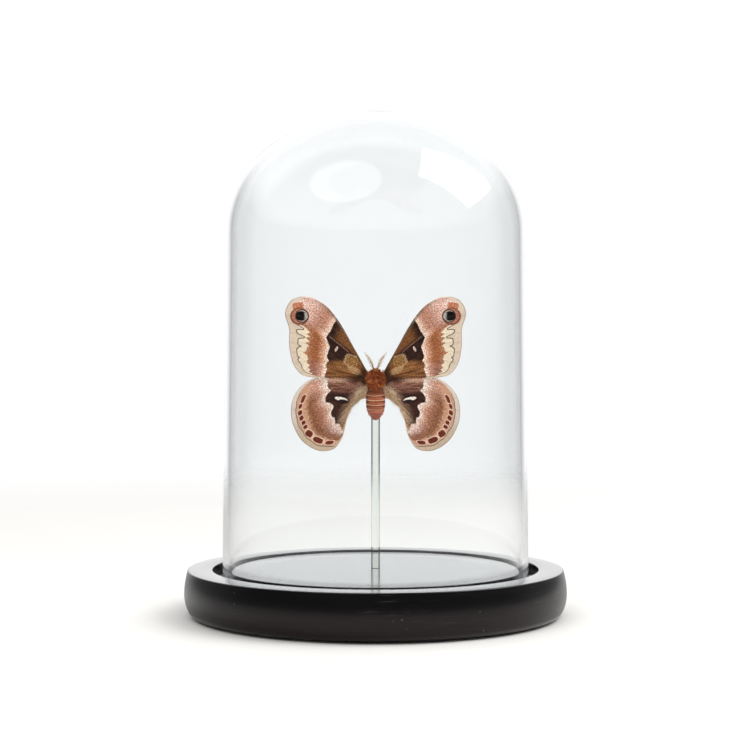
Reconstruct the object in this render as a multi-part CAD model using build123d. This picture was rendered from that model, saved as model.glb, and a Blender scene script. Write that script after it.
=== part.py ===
from build123d import *
import math
import os

# Bell jar display dome: a clear glass dome standing in the groove of a turned,
# black-painted wooden base. A clear rod rises from the middle of the base and
# carries a set silk moth, glued to the rod by the underside of its thorax.
# Frame: origin at the bottom centre on the surface that the feet stand on,
# +Z up, the moth faces -Y. Millimetres.

# ---- driving dimensions ---------------------------------------------------

OVERALL_HEIGHT = 200.0

# base
FOOT_THICKNESS = 1.0
FOOT_RADIUS = 6.5
FOOT_CIRCLE_RADIUS = 60.0
FOOT_COUNT = 4
BASE_RADIUS = 75.8            # widest part of the bowed side
RIM_RADIUS = 74.6             # where the side meets the flat top
BASE_TOP = 18.4               # height of the flat outer rim
DECK_DROP = 0.3               # the round deck lies just below the rim
DECK_RADIUS = 57.15
GROOVE_OUTER_RADIUS = 64.8
GROOVE_DEPTH = 5.2
SIDE_BULGE_HEIGHT = 9.0       # height of the widest part above the table
LOWER_EDGE_INSET = 2.6        # the underside is this much smaller in radius
LOWER_EDGE_ROUND = 1.56
UPPER_EDGE_ROUND = 0.5
GROOVE_EDGE_ROUND = 0.3

# glass
DOME_FOOT_RADIUS = 61.0       # outside, at the ground rim
DOME_RADIUS = 59.6            # outside, where the cap begins
DOME_CAP_HEIGHT = 48.0
DOME_SHOULDER_RADIUS = 42.0   # the cap is an oval of a shoulder and a crown arc
GLASS_THICKNESS = 2.5
DOME_RIM_ROUND = 0.6

# rod
ROD_RADIUS = 1.75
ROD_SOCKET_DEPTH = 10.0
ROD_TOP = 96.0

# moth
MOTH_HEIGHT = 92.4            # centre of the thorax above the table
THORAX_HALF = (4.4, 3.1, 4.8)
THORAX_DEPTH_GAP = 0.05       # behind the thorax, filled by the glue
HEAD_HALF = (1.7, 1.8, 1.6)
HEAD_RISE = 4.3               # above the thorax centre, half buried in its fur
HEAD_FORWARD = 0.2
EYE_RADIUS = 0.6
EYE_PLACE = (1.46, -0.6, 0.1) # right eye, from the head's centre
ABDOMEN_RADIUS = 3.9
ABDOMEN_LENGTH = 12.8
ABDOMEN_TIP_ROUND = 0.8
ABDOMEN_TOP_DROP = 1.5        # below the thorax centre, hidden inside the fur
ABDOMEN_SEGMENTS = 6
ABDOMEN_SEGMENT_SWELL = 0.32
ABDOMEN_WIDEST = 0.3          # how far along it is widest
ABDOMEN_TAPER = 1.75
ABDOMEN_ROD_GAP = 0.2
WING_THICKNESS = 0.35
FOREWING_FRONT = -4.35        # front face of the forewings
HINDWING_FRONT = -3.9         # the hindwings lie just behind them
ANTENNA_LENGTH = 7.9
ANTENNA_WIDTH = 2.4
ANTENNA_THICKNESS = 0.3
ANTENNA_SPLAY = 29.0          # degrees out from straight up
ANTENNA_ROOT = (0.75, -1.0, 0.9)  # right antenna, from the head's centre
ANTENNA_ROOT_HALF = 0.15
ANTENNA_WIDEST = 0.45         # how far along it is widest
LEG_RADIUS = 0.32
LEG_HIP = (2.6, -3.3)         # across and front-to-back, beside the rod
LEG_KNEE = (3.3, 0.3)
LEG_TIP = (2.7, 1.4)
# Height of the hip, knee and tip of each pair from the thorax centre.
LEG_HEIGHTS = {"front": (2.2, 3.4, 0.8), "middle": (0.4, 0.2, -3.6), "rear": (-1.6, -4.4, -8.6)}
GLUE_HALF = (1.9, 1.3, 3.2)
GLUE_RISE = 0.2               # above the thorax centre
GLUE_BACK = 0.3               # how far it runs back round the rod

# Wing outlines, as (out from the body's centre line, up from the thorax
# centre). The costa is the leading edge and the margin the outer edge.
FOREWING_COSTA = [(3.0, 3.7), (8.7, 13.9), (14.4, 23.9), (19.4, 30.0), (24.9, 33.3),
                  (29.5, 34.0)]
FOREWING_MARGIN = [(29.5, 34.0), (33.6, 32.3), (35.9, 27.3), (34.3, 21.2),
                   (34.2, 14.1), (32.6, 7.0), (29.2, 2.9), (24.9, 1.7)]
FOREWING_INNER_EDGE = [(24.9, 1.7), (14.0, 1.6), (3.0, 1.5)]
HINDWING_FRONT_EDGE = [(3.0, 0.9), (13.0, 2.2), (22.5, 2.2)]
HINDWING_MARGIN = [(22.5, 2.2), (27.8, -0.2), (32.3, -5.5), (33.6, -12.1), (32.4, -17.8),
                   (28.7, -23.7), (22.5, -27.2), (16.6, -26.5), (13.7, -23.0), (12.5, -20.1)]
HINDWING_INNER_EDGE = [(12.5, -20.1), (11.2, -14.0), (9.5, -9.6), (6.3, -7.1), (3.0, -6.4)]

# ---- sizes worked out from them -------------------------------------------

DOME_BOTTOM = BASE_TOP - GROOVE_DEPTH
DOME_CAP_START = OVERALL_HEIGHT - DOME_CAP_HEIGHT
DECK_TOP = BASE_TOP - DECK_DROP
SHOULDER_INSET = DOME_RADIUS - DOME_SHOULDER_RADIUS
CROWN_RISE = DOME_CAP_HEIGHT - DOME_SHOULDER_RADIUS
CROWN_CENTRE_DROP = (SHOULDER_INSET ** 2 - CROWN_RISE ** 2) / (2 * CROWN_RISE)
THORAX_CENTRE_Y = -(ROD_RADIUS + THORAX_DEPTH_GAP + THORAX_HALF[1])
HEAD_CENTRE = (0, THORAX_CENTRE_Y - HEAD_FORWARD, MOTH_HEIGHT + HEAD_RISE)
ABDOMEN_CENTRE_Y = -(ROD_RADIUS + ABDOMEN_ROD_GAP + ABDOMEN_RADIUS)

PARTS_FOLDER = "parts"


def ellipsoid(half_sizes, centre):
    """A ball squashed to the three half sizes."""
    ball = scale(Sphere(radius=1.0), by=half_sizes)
    return Pos(*centre) * ball


def make_base_board():
    """Turned board: bowed side, flat rim, groove for the glass, flat deck."""
    side = ThreePointArc((BASE_RADIUS - LOWER_EDGE_INSET, FOOT_THICKNESS),
                         (BASE_RADIUS, SIDE_BULGE_HEIGHT),
                         (RIM_RADIUS, BASE_TOP))
    outline = Polyline((RIM_RADIUS, BASE_TOP),
                       (GROOVE_OUTER_RADIUS, BASE_TOP),
                       (GROOVE_OUTER_RADIUS, DOME_BOTTOM),
                       (DECK_RADIUS, DOME_BOTTOM),
                       (DECK_RADIUS, DECK_TOP),
                       (ROD_RADIUS, DECK_TOP),
                       (ROD_RADIUS, DECK_TOP - ROD_SOCKET_DEPTH),
                       (0, DECK_TOP - ROD_SOCKET_DEPTH),
                       (0, FOOT_THICKNESS),
                       (BASE_RADIUS - LOWER_EDGE_INSET, FOOT_THICKNESS))
    profile = make_face(Plane.XZ * (side + outline))
    board = revolve(profile, axis=Axis.Z)
    circles = board.edges().filter_by(GeomType.CIRCLE)
    lower_edge = circles.filter_by(lambda e: e.center().Z < FOOT_THICKNESS + 0.1)
    board = fillet(lower_edge, LOWER_EDGE_ROUND)
    circles = board.edges().filter_by(GeomType.CIRCLE)
    rim_edge = circles.filter_by(lambda e: abs(e.radius - RIM_RADIUS) < 0.1)
    board = fillet(rim_edge, UPPER_EDGE_ROUND)
    circles = board.edges().filter_by(GeomType.CIRCLE)
    groove_edges = circles.filter_by(
        lambda e: e.center().Z > DECK_TOP - 0.1
        and DECK_RADIUS - 0.1 < e.radius < GROOVE_OUTER_RADIUS + 0.1)
    return fillet(groove_edges, GROOVE_EDGE_ROUND)


def make_foot_pad(index):
    """Round self-adhesive felt pad under the board."""
    angle = math.radians(45 + index * 360 / FOOT_COUNT)
    x = FOOT_CIRCLE_RADIUS * math.cos(angle)
    y = FOOT_CIRCLE_RADIUS * math.sin(angle)
    low = (Align.CENTER, Align.CENTER, Align.MIN)
    return Pos(x, y, 0) * Cylinder(FOOT_RADIUS, FOOT_THICKNESS, align=low)


def dome_side(inset):
    """Foot-to-crown outline of the dome's outer face, moved inwards by inset."""
    shoulder_centre = Vector(DOME_RADIUS - DOME_SHOULDER_RADIUS, DOME_CAP_START)
    crown_centre = Vector(0, DOME_CAP_START - CROWN_CENTRE_DROP)
    outward = (shoulder_centre - crown_centre).normalized()
    shoulder_radius = DOME_SHOULDER_RADIUS - inset
    crown_radius = DOME_CAP_HEIGHT + CROWN_CENTRE_DROP - inset
    foot = Vector(DOME_FOOT_RADIUS - inset, DOME_BOTTOM)
    cap_start = shoulder_centre + Vector(shoulder_radius, 0)
    meeting = shoulder_centre + outward * shoulder_radius
    crown = crown_centre + Vector(0, crown_radius)
    wall = Line(foot, cap_start)
    shoulder = TangentArc(cap_start, meeting, tangent=(0, 1))
    crown_arc = TangentArc(crown, meeting, tangent=(1, 0))
    return wall + shoulder + crown_arc, foot, crown


def make_glass_dome():
    """Blown glass dome: slightly flared wall, oval cap, rounded rim."""
    outside, outer_foot, outer_crown = dome_side(0)
    inside, inner_foot, inner_crown = dome_side(GLASS_THICKNESS)
    rim = Line(outer_foot, inner_foot)
    crown = Line(outer_crown, inner_crown)
    dome = revolve(make_face(Plane.XZ * (outside + inside + rim + crown)), axis=Axis.Z)
    rim_edges = dome.edges().filter_by(
        lambda e: e.geom_type == GeomType.CIRCLE and e.center().Z < DOME_BOTTOM + 0.1)
    return fillet(rim_edges, DOME_RIM_ROUND)


def make_stem_rod():
    """Clear rod, glued into the blind hole in the middle of the board."""
    bottom = DECK_TOP - ROD_SOCKET_DEPTH
    low = (Align.CENTER, Align.CENTER, Align.MIN)
    return Pos(0, 0, bottom) * Cylinder(ROD_RADIUS, ROD_TOP - bottom, align=low)


def make_thorax():
    return ellipsoid(THORAX_HALF, (0, THORAX_CENTRE_Y, MOTH_HEIGHT))


def make_head(thorax):
    return ellipsoid(HEAD_HALF, HEAD_CENTRE) - thorax


def make_eye(side, head, thorax):
    """Round compound eye on the cheek; side is -1 for left, +1 for right."""
    eye = Pos(*HEAD_CENTRE) * Pos(*EYE_PLACE) * Sphere(EYE_RADIUS) - head - thorax
    return on_side(eye, side)


def on_side(shape, side):
    """The shape itself for the right side, its mirror image for the left."""
    if side > 0:
        return shape
    return mirror(shape, about=Plane.YZ)


def make_abdomen(thorax):
    """Plump abdomen with one swelling per segment and a rounded tip."""
    top = -ABDOMEN_TOP_DROP
    pitch = ABDOMEN_LENGTH / ABDOMEN_SEGMENTS
    profile = Line((0, top), (segment_radius(0), top))
    for i in range(ABDOMEN_SEGMENTS):
        start = (segment_radius(i), top - i * pitch)
        end = (segment_radius(i + 1), top - (i + 1) * pitch)
        middle = ((start[0] + end[0]) / 2 + ABDOMEN_SEGMENT_SWELL, (start[1] + end[1]) / 2)
        profile += ThreePointArc(start, middle, end)
    tip_edge = (segment_radius(ABDOMEN_SEGMENTS), top - ABDOMEN_LENGTH)
    tip = (0, top - ABDOMEN_LENGTH - ABDOMEN_TIP_ROUND)
    profile += TangentArc(tip, tip_edge, tangent=(1, 0))
    profile += Line(tip, (0, top))
    body = revolve(make_face(Plane.XZ * profile), axis=Axis.Z)
    return Pos(0, ABDOMEN_CENTRE_Y, MOTH_HEIGHT) * body - thorax


def segment_radius(i):
    """Radius at the joint above segment i: widest a third of the way down."""
    along = i / ABDOMEN_SEGMENTS
    joint_radius = ABDOMEN_RADIUS - ABDOMEN_SEGMENT_SWELL
    return joint_radius * math.cos((along - ABDOMEN_WIDEST) * ABDOMEN_TAPER) ** 0.6


def make_wing(side, edges, front, thorax, abdomen):
    """Flat wing plate whose root is cut to the flank of the body."""
    outline = Line(edges[-1][-1], edges[0][0])
    for points in edges:
        outline += Spline(*points)
    face = make_face(Plane.XZ * outline)
    plate = extrude(face, amount=WING_THICKNESS, dir=(0, 1, 0))
    plate = Pos(0, front, MOTH_HEIGHT) * plate
    return on_side(plate - thorax - abdomen, side)


def make_antenna(side, head):
    """Leaf-shaped feathered antenna, rooted on top of the head."""
    half = ANTENNA_WIDTH / 2
    widest = ANTENNA_LENGTH * ANTENNA_WIDEST
    right_edge = ThreePointArc((ANTENNA_ROOT_HALF, 0), (half, widest), (0, ANTENNA_LENGTH))
    left_edge = ThreePointArc((0, ANTENNA_LENGTH), (-half, widest), (-ANTENNA_ROOT_HALF, 0))
    root = Line((-ANTENNA_ROOT_HALF, 0), (ANTENNA_ROOT_HALF, 0))
    face = make_face(Plane.XZ * (right_edge + left_edge + root))
    leaf = extrude(face, amount=ANTENNA_THICKNESS, dir=(0, 1, 0))
    root_place = Pos(*HEAD_CENTRE) * Pos(*ANTENNA_ROOT)
    return on_side(root_place * Rot(0, ANTENNA_SPLAY, 0) * leaf - head, side)


def make_leg_pair(hip_rise, knee_rise, foot_rise, solids_to_clear):
    """A left and a right leg, folded back beside the rod."""
    hip = Vector(*LEG_HIP, MOTH_HEIGHT + hip_rise)
    knee = Vector(*LEG_KNEE, MOTH_HEIGHT + knee_rise)
    foot = Vector(*LEG_TIP, MOTH_HEIGHT + foot_rise)
    leg = limb(hip, knee) + limb(knee, foot) + Pos(knee) * Sphere(LEG_RADIUS)
    for solid in solids_to_clear:
        leg = leg - solid
    leg = leg.solids().sort_by(SortBy.VOLUME)[-1]
    return Compound(children=[leg, mirror(leg, about=Plane.YZ)])


def limb(start, end):
    """Straight round length of leg from start to end."""
    length = (end - start).length
    low = (Align.CENTER, Align.CENTER, Align.MIN)
    return Plane(start, z_dir=end - start) * Cylinder(LEG_RADIUS, length, align=low)


def make_glue_bead(rod, thorax, abdomen):
    """Clear adhesive between the rod and the underside of the thorax."""
    width, depth, height = [2 * half for half in GLUE_HALF]
    blob = ellipsoid(GLUE_HALF, (0, 0.1 - ROD_RADIUS, MOTH_HEIGHT + GLUE_RISE))
    front_of_rod = Box(2 * width, depth, 2 * height)
    front_of_rod = Pos(0, GLUE_BACK - ROD_RADIUS - depth / 2, MOTH_HEIGHT) * front_of_rod
    bead = (blob & front_of_rod) - rod - thorax - abdomen
    return bead.solids().sort_by(SortBy.VOLUME)[-1]


base_board = make_base_board()
stem_rod = make_stem_rod()
thorax = make_thorax()
head = make_head(thorax)
abdomen = make_abdomen(thorax)
glue_bead = make_glue_bead(stem_rod, thorax, abdomen)

parts = {
    "base_board": base_board,
    "glass_dome": make_glass_dome(),
    "stem_rod": stem_rod,
    "glue_bead": glue_bead,
    "moth_thorax": thorax,
    "moth_head": head,
    "moth_abdomen": abdomen,
}

pad_names = ("foot_pad_rear_right", "foot_pad_rear_left",
             "foot_pad_front_left", "foot_pad_front_right")
for index, name in enumerate(pad_names):
    parts[name] = make_foot_pad(index)

forewing_edges = (FOREWING_COSTA, FOREWING_MARGIN, FOREWING_INNER_EDGE)
hindwing_edges = (HINDWING_FRONT_EDGE, HINDWING_MARGIN, HINDWING_INNER_EDGE)
for side, word in ((-1, "left"), (1, "right")):
    parts["moth_forewing_" + word] = make_wing(side, forewing_edges, FOREWING_FRONT,
                                               thorax, abdomen)
    parts["moth_hindwing_" + word] = make_wing(side, hindwing_edges, HINDWING_FRONT,
                                               thorax, abdomen)
    parts["moth_antenna_" + word] = make_antenna(side, head)
    parts["moth_eye_" + word] = make_eye(side, head, thorax)

bodies_to_clear = (thorax, abdomen, glue_bead)
for word, heights in LEG_HEIGHTS.items():
    parts["moth_legs_" + word] = make_leg_pair(*heights, bodies_to_clear)

os.makedirs(PARTS_FOLDER, exist_ok=True)
for name, solid in parts.items():
    export_step(solid, os.path.join(PARTS_FOLDER, name + ".step"))
    print(name, round(solid.volume, 2))
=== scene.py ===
import bmesh
import bpy
import math
import random
from mathutils import Euler, Matrix, Vector, noise


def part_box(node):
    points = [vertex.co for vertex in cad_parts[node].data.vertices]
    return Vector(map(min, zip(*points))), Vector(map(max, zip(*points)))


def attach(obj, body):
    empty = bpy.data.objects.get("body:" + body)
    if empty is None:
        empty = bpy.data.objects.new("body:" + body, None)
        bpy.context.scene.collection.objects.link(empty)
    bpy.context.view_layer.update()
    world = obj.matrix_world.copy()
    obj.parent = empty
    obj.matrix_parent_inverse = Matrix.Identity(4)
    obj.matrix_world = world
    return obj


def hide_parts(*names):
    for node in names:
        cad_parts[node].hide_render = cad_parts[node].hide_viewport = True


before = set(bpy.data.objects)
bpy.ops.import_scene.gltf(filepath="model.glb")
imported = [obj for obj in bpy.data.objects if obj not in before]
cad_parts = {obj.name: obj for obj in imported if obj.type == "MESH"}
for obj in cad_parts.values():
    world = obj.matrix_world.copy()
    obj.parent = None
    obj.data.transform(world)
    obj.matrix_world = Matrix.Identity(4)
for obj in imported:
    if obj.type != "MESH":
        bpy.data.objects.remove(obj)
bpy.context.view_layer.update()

MM = 0.001

# ---------------------------------------------------------------- base board
# The board is one disc of wood turned on a lathe: a bowed side, a flat rim, a
# ring groove for the glass and a flat deck. It is sprayed satin black, and
# the lathe's fine rings and a little dust show through the paint.

board_low, board_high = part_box("base_board")
BOARD_RADIUS = board_high.x
BOARD_TOP = board_high.z
BOARD_BOTTOM = board_low.z
RIM_OUTER = BOARD_RADIUS - 1.3 * MM
FOOT_OF_SIDE = BOARD_RADIUS - 3.4 * MM
GROOVE_OUTER = 64.8 * MM
GROOVE_FLOOR = BOARD_TOP - 5.2 * MM
DECK_RADIUS = 57.15 * MM
DECK_TOP = BOARD_TOP - 0.3 * MM
SOCKET_RADIUS = 1.78 * MM
SOCKET_DEPTH = 10 * MM
FOOT_ROUND = 1.6 * MM
RIM_ROUND = 0.55 * MM
GROOVE_ROUND = 0.3 * MM
WIDEST = 0.46  # of the board's height


def arc(centre, radius, start, end, steps):
    """Points along part of a circle in the (radius, height) plane, in degrees."""
    points = []
    for i in range(steps + 1):
        angle = math.radians(start + (end - start) * i / steps)
        points.append((centre[0] + radius * math.cos(angle), centre[1] + radius * math.sin(angle)))
    return points


def turned(profile, steps):
    """A bmesh of the (radius, height) profile spun once round the Z axis."""
    bm = bmesh.new()
    ring = [bm.verts.new((max(r, 0.0), 0, z)) for r, z in profile]
    edges = [bm.edges.new(pair) for pair in zip(ring, ring[1:])]
    bmesh.ops.spin(bm, geom=ring + edges, cent=(0, 0, 0), axis=(0, 0, 1), angle=math.tau,
                   steps=steps, use_merge=True)
    bmesh.ops.remove_doubles(bm, verts=bm.verts, dist=0.002 * MM)
    bmesh.ops.recalc_face_normals(bm, faces=bm.faces)
    return bm


def piece(name, bm, body, material, sharp=40):
    """A smooth-shaded object from the bmesh, riding on a body."""
    mesh = bpy.data.meshes.new(name)
    bm.to_mesh(mesh)
    bm.free()
    mesh.shade_smooth()
    mesh.set_sharp_from_angle(angle=math.radians(sharp))
    made = bpy.data.objects.new(name, mesh)
    bpy.context.scene.collection.objects.link(made)
    made.data.materials.append(material)
    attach(made, body)
    return made


def colour(red, green, blue):
    """An everyday 0-255 colour as the linear values a shader takes."""
    def linear(level):
        level /= 255
        if level < 0.04045:
            return level / 12.92
        return ((level + 0.055) / 1.055) ** 2.4
    return (linear(red), linear(green), linear(blue), 1.0)


def new_material(name):
    """A material, its node tree and its Principled shader."""
    material = bpy.data.materials.new(name)
    material.use_nodes = True
    return material, material.node_tree, material.node_tree.nodes["Principled BSDF"]


def feed(socket, value):
    """Links another node's output to the socket, or sets a plain value or 0-255 colour."""
    if isinstance(value, bpy.types.NodeSocket):
        socket.id_data.links.new(value, socket)
    elif socket.type == "RGBA" and len(value) == 3:
        socket.default_value = colour(*value)
    else:
        socket.default_value = value


def feed_all(node, **values):
    """Feeds inputs by name, with _ for each space in the name."""
    for name, value in values.items():
        feed(node.inputs[name.replace("_", " ")], value)


def node_by(socket, kind, **values):
    """A new node in the tree that the socket belongs to, with inputs fed by name."""
    made = socket.id_data.nodes.new(kind)
    feed_all(made, **values)
    return made


def maths(operation, *values):
    """One step of arithmetic on sockets and numbers, at least one of them a socket."""
    first = next(value for value in values if isinstance(value, bpy.types.NodeSocket))
    made = node_by(first, "ShaderNodeMath")
    made.operation = operation
    for socket, value in zip(made.inputs, values):
        feed(socket, value)
    return made.outputs[0]


def times(a, b):
    return maths("MULTIPLY", a, b)


def plus(a, b):
    return maths("ADD", a, b)


def scaled(value, factor, offset):
    return maths("MULTIPLY_ADD", value, factor, offset)


def fade(value, start, end):
    """0 at start, 1 at end, eased between them; start may be the larger."""
    made = node_by(value, "ShaderNodeMapRange", Value=value, From_Min=start, From_Max=end)
    made.interpolation_type = "SMOOTHSTEP"
    return made.outputs["Result"]


def paint(mask, under, over):
    """The colour over laid on the colour under where the mask is 1."""
    made = node_by(mask, "ShaderNodeMix")
    made.data_type = "RGBA"
    for place, value in ((0, mask), (6, under), (7, over)):
        feed(made.inputs[place], value)
    return made.outputs[2]


def shaded(value, under, *steps):
    """The colour under, painted over along a value by (start, end, colour, strength) steps."""
    for start, end, over, *strength in steps:
        mask = fade(value, start, end)
        if strength:
            mask = times(mask, strength[0])
        under = paint(mask, under, over)
    return under


def stretched(vector, scale, shift=(0, 0, 0)):
    made = node_by(vector, "ShaderNodeMapping", Vector=vector, Scale=scale, Location=shift)
    return made.outputs["Vector"]


def apart(vector):
    """The three parts of a vector."""
    return node_by(vector, "ShaderNodeSeparateXYZ", Vector=vector).outputs[:3]


def grain(vector, scale, detail=3.0, rough=0.55):
    """Noise from 0 to 1 at so many features per unit of the vector."""
    made = node_by(vector, "ShaderNodeTexNoise", Vector=vector, Scale=scale, Detail=detail,
                   Roughness=rough)
    return made.outputs["Fac"]


def object_place(tree):
    return tree.nodes.new("ShaderNodeTexCoord").outputs["Object"]


def raise_surface(shader, height, distance, strength=1.0):
    """A bump of so many metres from a height of 0 to 1."""
    made = node_by(height, "ShaderNodeBump", Strength=strength, Distance=distance, Height=height)
    feed(shader.inputs["Normal"], made.outputs["Normal"])


def black_paint():
    """Satin black over wood: smooth on top, brushed streaks and dust at the side, and a painted warm
    reflection towards the bottom.
    """
    material, tree, shader = new_material("satin_black_paint")
    place = object_place(tree)
    x, y, z = apart(place)
    radius = maths("SQRT", plus(maths("POWER", x, 2.0), maths("POWER", y, 2.0)))
    side = fade(radius, RIM_OUTER - 0.9 * MM, RIM_OUTER + 0.1 * MM)
    streaks = grain(stretched(place, (60, 60, 2600)), 1.0, 4.0, 0.65)
    peel = grain(place, 1400, 2.0)
    clouds = grain(place, 32, 3.0)
    worn = times(fade(streaks, 0.58, 0.72), fade(clouds, 0.45, 0.62))
    worn = times(worn, side)
    # warmer brown towards the bottom of the side: a painted reflection of a warm table top
    tone = shaded(z, (9, 9, 11), (BOARD_TOP - 4 * MM, BOARD_BOTTOM + 5 * MM, (25, 17, 15)))
    tone = paint(times(worn, 0.7), tone, (70, 66, 66))
    specks = node_by(place, "ShaderNodeTexVoronoi", Vector=place, Scale=640)
    pick = node_by(place, "ShaderNodeSeparateColor", Color=specks.outputs["Color"])
    dust = times(fade(specks.outputs["Distance"], 0.15, 0.05), fade(pick.outputs[0], 0.9, 0.93))
    dust = times(dust, fade(clouds, 0.5, 0.6))
    tone = paint(dust, tone, (150, 146, 142))
    dull = plus(scaled(clouds, 0.05, 0.07), times(side, 0.2))
    feed_all(shader, Base_Color=tone, Roughness=plus(dull, times(dust, 0.4)),
             Specular_IOR_Level=0.22, Coat_Weight=scaled(side, -0.75, 1.0),
             Coat_Roughness=0.17, Coat_IOR=1.5)
    height = plus(times(streaks, 0.8), times(peel, 0.2))
    height = times(height, scaled(side, 0.97, 0.03))
    raise_surface(shader, height, 0.02 * MM, 0.6)
    return material


def board_profile():
    """From the middle of the underside, out, up the bowed side and back in."""
    outline = [(0, BOARD_BOTTOM)]
    outline += [(FOOT_OF_SIDE - step * 9 * MM, BOARD_BOTTOM) for step in (6, 4, 2, 1)]
    outline += arc((FOOT_OF_SIDE, BOARD_BOTTOM + FOOT_ROUND), FOOT_ROUND, -90, -28, 6)
    lower = outline[-1]
    widest = BOARD_BOTTOM + WIDEST * (BOARD_TOP - BOARD_BOTTOM)
    reach = BOARD_RADIUS - lower[0]
    for i in range(1, 9):
        part = i / 9
        outline.append((lower[0] + reach * math.sin(part * math.pi / 2) ** 0.8,
                        lower[1] + (widest - lower[1]) * part))
    shoulder = BOARD_TOP - RIM_ROUND
    for i in range(10):
        part = i / 10
        outline.append((BOARD_RADIUS - (BOARD_RADIUS - RIM_OUTER) * part ** 2,
                        widest + (shoulder - widest) * part))
    outline += arc((RIM_OUTER - RIM_ROUND, shoulder), RIM_ROUND, 4, 90, 6)
    edge = GROOVE_ROUND
    outline += arc((GROOVE_OUTER + edge, BOARD_TOP - edge), edge, 90, 180, 4)
    outline += arc((GROOVE_OUTER - edge, GROOVE_FLOOR + edge), edge, 0, -90, 4)
    outline += arc((DECK_RADIUS + edge, GROOVE_FLOOR + edge), edge, -90, -180, 4)
    outline += arc((DECK_RADIUS - edge, DECK_TOP - edge), edge, 0, 90, 4)
    outline += [(DECK_RADIUS * part, DECK_TOP) for part in (0.75, 0.5, 0.25)]
    outline += [(SOCKET_RADIUS, DECK_TOP), (SOCKET_RADIUS, DECK_TOP - SOCKET_DEPTH)]
    outline += [(0, DECK_TOP - SOCKET_DEPTH)]
    return outline


board = piece("base_board_turned", turned(board_profile(), 180), "base", black_paint())
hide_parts("base_board")

# ----------------------------------------------------------------- felt pads
# Four round pads die-cut from black self-adhesive felt, stuck under the board
# so that it doesn't mark the table. Their fibres are matted and slightly grey.


def felt():
    material, tree, shader = new_material("black_felt")
    place = object_place(tree)
    fibres = grain(place, 2600, 4.0, 0.7)
    feed_all(shader, Base_Color=shaded(fibres, (22, 22, 23), (0.4, 0.75, (58, 56, 55))),
             Roughness=scaled(fibres, 0.15, 0.82))
    raise_surface(shader, fibres, 0.08 * MM)
    return material


def repaint(node, material):
    """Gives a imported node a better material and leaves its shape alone."""
    for place_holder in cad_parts[node].material_slots:
        place_holder.material = material


felt_material = felt()
for corner in ("rear_right", "rear_left", "front_left", "front_right"):
    repaint("foot_pad_" + corner, felt_material)

# ---------------------------------------------------------------- glass dome
# One piece of blown clear glass with a slightly flared wall, an oval cap and a
# ground, rounded rim. Its wall isn't quite even, so that what is seen through
# it and what it mirrors bends a little. It stands loose in the groove.

dome_low, dome_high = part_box("glass_dome")
GLASS = 2.5 * MM
DOME_RIM = 0.6 * MM
DOME_FOOT = dome_high.x
DOME_WAIST = DOME_FOOT - 1.4 * MM
CAP_HEIGHT = 48 * MM
CAP_START = dome_high.z - CAP_HEIGHT
SHOULDER = 42 * MM
SHOULDER_CENTRE = DOME_WAIST - SHOULDER
CROWN_DROP = (SHOULDER_CENTRE ** 2 - (CAP_HEIGHT - SHOULDER) ** 2) / (2 * (CAP_HEIGHT - SHOULDER))


def dome_face(inset):
    """Rim to crown, for the outer face or, set in by the wall, the inner one."""
    lean = math.degrees(math.atan2(CROWN_DROP, SHOULDER_CENTRE))
    foot = (DOME_FOOT - inset, dome_low.z + DOME_RIM)
    top = (DOME_WAIST - inset, CAP_START)
    outline = []
    for i in range(24):
        part = i / 24
        ease = part ** 0.75
        outline.append((foot[0] + (top[0] - foot[0]) * ease, foot[1] + (top[1] - foot[1]) * part))
    outline += arc((SHOULDER_CENTRE, CAP_START), SHOULDER - inset, 0, lean, 22)[:-1]
    outline += arc((0, CAP_START - CROWN_DROP), CAP_HEIGHT + CROWN_DROP - inset, lean, 90, 22)
    return outline


def clear_shader(name, shadow_tint):
    """A clear material that lets lamp light through instead of shading it."""
    material, tree, shader = new_material(name)
    shader.inputs["Transmission Weight"].default_value = 1.0
    passing = tree.nodes.new("ShaderNodeBsdfTransparent")
    feed_all(passing, Color=shadow_tint)
    rays = tree.nodes.new("ShaderNodeLightPath")
    either = tree.nodes.new("ShaderNodeMixShader")
    mixed = (rays.outputs["Is Shadow Ray"], shader.outputs[0], passing.outputs[0])
    for socket, value in zip(either.inputs, mixed):
        feed(socket, value)
    feed(tree.nodes["Material Output"].inputs["Surface"], either.outputs[0])
    return material, tree, shader


def clear_glass():
    material, tree, shader = clear_shader("clear_blown_glass", (0.95, 0.96, 0.96, 1))
    place = object_place(tree)
    smears = grain(place, 55, 4.0, 0.6)
    feed_all(shader, IOR=1.46, Base_Color=paint(smears, (250, 252, 252), (254, 255, 255)),
             Roughness=times(fade(smears, 0.62, 0.85), 0.03))
    draw_rings = grain(stretched(place, (14, 14, 420)), 1.0, 2.0)
    raise_surface(shader, draw_rings, 0.008 * MM, 0.3)
    return material


def blown(bm):
    """Presses the spun wall in a little here and there, as blowing leaves it."""
    middle = Vector((0, 0, CAP_START - 20 * MM))
    for vert in bm.verts:
        outward = (vert.co - middle).normalized()
        swell = noise.noise(vert.co * 26) + 0.4 * noise.noise(vert.co * 70)
        vert.co -= outward * 0.05 * MM * (1.2 + swell)
    return bm


outer_face = dome_face(0)
inner_face = dome_face(GLASS)
rim_centre = (DOME_FOOT - DOME_RIM, dome_low.z + DOME_RIM)
inner_rim_centre = (DOME_FOOT - GLASS + DOME_RIM, dome_low.z + DOME_RIM)
rim_bend = arc(inner_rim_centre, DOME_RIM, 180, 270, 5) + arc(rim_centre, DOME_RIM, 270, 360, 5)
dome_profile = inner_face[::-1] + rim_bend[1:-1] + outer_face
dome = piece("glass_dome_blown", blown(turned(dome_profile, 192)), "dome", clear_glass(),
             60)
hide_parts("glass_dome")

# ------------------------------------------------------------------ stem rod
# A clear acrylic rod cut square, its ends just broken, and glued into the
# blind hole in the middle of the deck. Fine rubs run along it.

rod_low, rod_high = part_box("stem_rod")
ROD_RADIUS = rod_high.x
ROD_BEVEL = 0.15 * MM


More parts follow.
